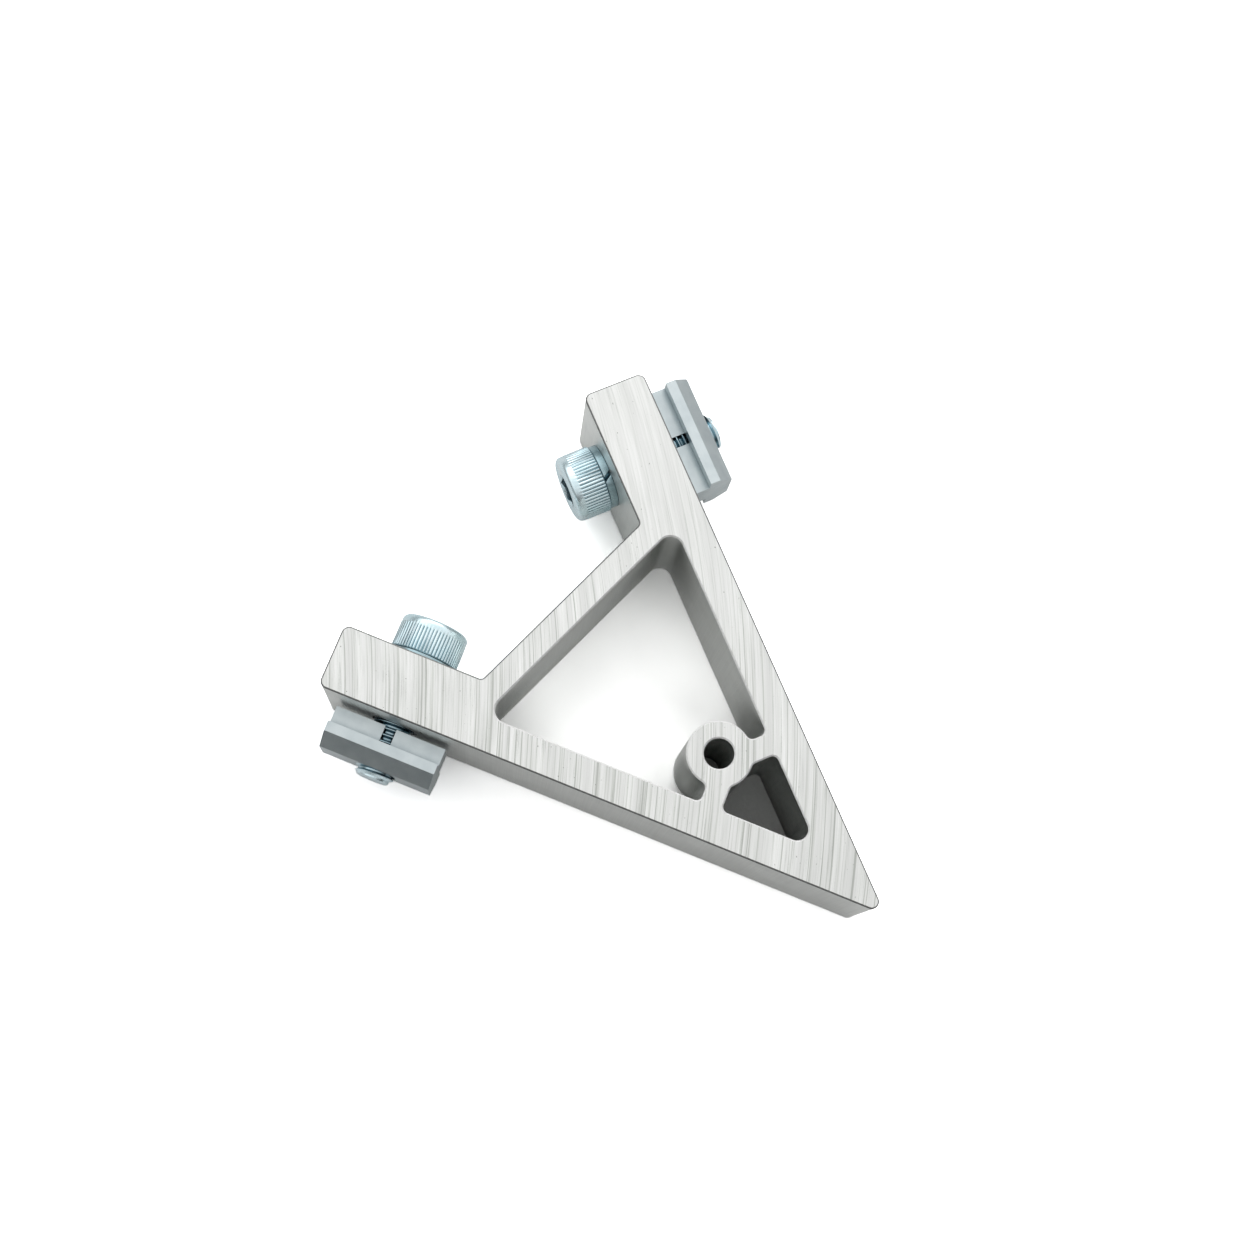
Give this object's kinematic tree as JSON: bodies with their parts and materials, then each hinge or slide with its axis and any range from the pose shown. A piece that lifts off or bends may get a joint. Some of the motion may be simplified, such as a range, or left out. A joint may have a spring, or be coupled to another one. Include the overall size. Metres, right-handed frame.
{
  "type": "corner bracket",
  "caption": "Sawn aluminium extrusion that joins two slotted profiles at 45 degrees, with cap screws, lock washers and slot nuts.",
  "frame": {"origin": "axis of the boss bore, on the lower sawn face", "axes": "+Z along the extrusion, +X along the foot of leg 1 toward its end, -Y out of the foot of leg 1; leg 2 lies 45 degrees counter-clockwise from leg 1 seen from +Z"},
  "size_m": [0.11, 0.0943, 0.026],
  "materials": {
    "bracket": "sawn sides bright with fine saw lines, extruded faces satin",
    "screw": "bright zinc plated with a blue tinge",
    "washer": "bright zinc plated with a blue tinge",
    "nut": "bright zinc plated"
  },
  "bodies": {
    "root": {"bracket_body": "bracket", "head_screw_1": "screw", "head_screw_2": "screw", "lock_washer_1": "washer", "lock_washer_2": "washer", "slot_nut_1": "nut", "slot_nut_2": "nut"}
  },
  "joints": []
}
